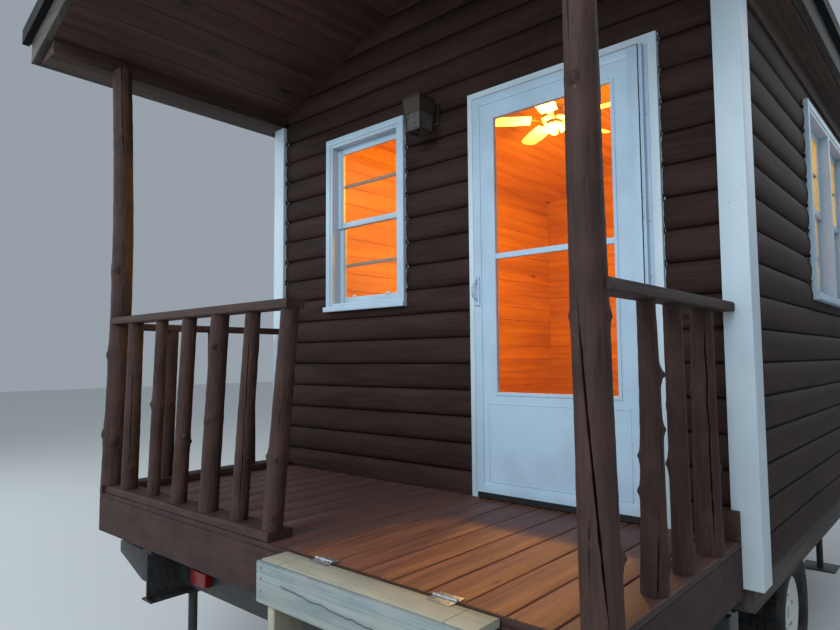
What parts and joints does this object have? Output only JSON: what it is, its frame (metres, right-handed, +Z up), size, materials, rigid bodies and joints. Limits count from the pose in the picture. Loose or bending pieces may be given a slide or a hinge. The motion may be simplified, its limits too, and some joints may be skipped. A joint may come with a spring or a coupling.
{
  "type": "small log-sided cabin on a towable trailer chassis",
  "caption": "Gabled cabin with log siding on a steel trailer chassis, with a covered front porch, sapling railings, storm door, fold-up step, ceiling fan and road wheels.",
  "frame": {"origin": "On the ground, at the middle of the footprint from the foot of the step to the nose of the coupler.", "axes": "+Z is up, the porch faces -Y and +X is to the right of someone who faces the porch."},
  "size_m": [3.346, 6.786, 4.1599],
  "materials": {
    "log_siding": "satin",
    "peeled_log": "satin",
    "deck_stain": "satin",
    "white_trim": "satin",
    "bare_pine": "matte",
    "weathered_board": "matte",
    "ceiling_board": "satin",
    "floor_wood": "satin",
    "roofing": "matte",
    "chassis_steel": "satin",
    "wheel_steel": "gloss",
    "tyre": "matte",
    "white_door": "gloss",
    "window_frame": "satin",
    "window_glass": "gloss",
    "galvanised": "satin",
    "dark_bronze": "satin",
    "fan_white": "satin",
    "red_lens": "gloss"
  },
  "bodies": {
    "cabin": {"front_wall_left": "log_siding", "front_wall_right": "log_siding", "front_gable": "log_siding", "left_wall": "log_siding", "right_wall": "log_siding", "back_wall": "log_siding", "porch_posts": "peeled_log", "newel_post": "peeled_log", "front_balusters": "peeled_log", "side_balusters": "peeled_log", "top_rails": "peeled_log", "deck_boards": "deck_stain", "sill_planks": "deck_stain", "corner_boards": "white_trim", "door_casing": "white_trim", "rake_fascias": "weathered_board", "eave_fascias": "weathered_board", "eave_boards": "weathered_board", "porch_frame": "weathered_board", "porch_joists": "weathered_board", "floor_frame": "weathered_board", "roof_left": "ceiling_board", "roof_right": "ceiling_board", "porch_beams": "ceiling_board", "cabin_floor": "floor_wood", "roofing_left": "roofing", "roofing_right": "roofing", "ridge_cap": "roofing", "chassis_rails": "chassis_steel", "cross_members": "chassis_steel", "outriggers": "chassis_steel", "axle": "chassis_steel", "leaf_springs": "chassis_steel", "jack_stands": "chassis_steel", "hitch_tongue": "chassis_steel", "storm_door_hinge": "white_door", "front_window": "window_frame", "left_window": "window_frame", "right_window": "window_frame", "back_window": "window_frame", "window_glass": "window_glass", "deck_hinge_leaves": "galvanised", "door_threshold": "galvanised", "porch_light": "dark_bronze", "fan_mount": "fan_white", "tail_lights": "red_lens"},
    "storm_door": {"storm_door_leaf": "white_door", "storm_door_glass": "window_glass", "storm_door_handle": "dark_bronze"},
    "folding_step": {"step_stringers": "bare_pine", "step_treads": "bare_pine", "step_riser": "bare_pine", "step_hinge_leaves": "galvanised"},
    "wheel_left": {"tyre_left": "tyre", "rim_left": "wheel_steel"},
    "wheel_right": {"tyre_right": "tyre", "rim_right": "wheel_steel"},
    "ceiling_fan": {"fan_rotor": "fan_white"}
  },
  "joints": [
    {"name": "storm_door_hinge", "type": "hinge", "parent": "cabin", "child": "storm_door", "pos_m": [1.12852, -1.41, 1.036], "axis": [0, 0, 1], "range_deg": [0, 100]},
    {"name": "step_fold", "type": "hinge", "parent": "cabin", "child": "folding_step", "pos_m": [0.69152, -2.5595, 1.006], "axis": [-1, 0, 0], "range_deg": [0, 180]},
    {"name": "left_wheel_turn", "type": "hinge", "parent": "cabin", "child": "wheel_left", "pos_m": [-1.27, -0.165, 0.352], "axis": [1, 0, 0], "continuous": true},
    {"name": "right_wheel_turn", "type": "hinge", "parent": "cabin", "child": "wheel_right", "pos_m": [1.27, -0.165, 0.352], "axis": [1, 0, 0], "continuous": true},
    {"name": "fan_spin", "type": "hinge", "parent": "cabin", "child": "ceiling_fan", "pos_m": [0, -0.124, 3.386], "axis": [0, 0, 1], "continuous": true}
  ]
}
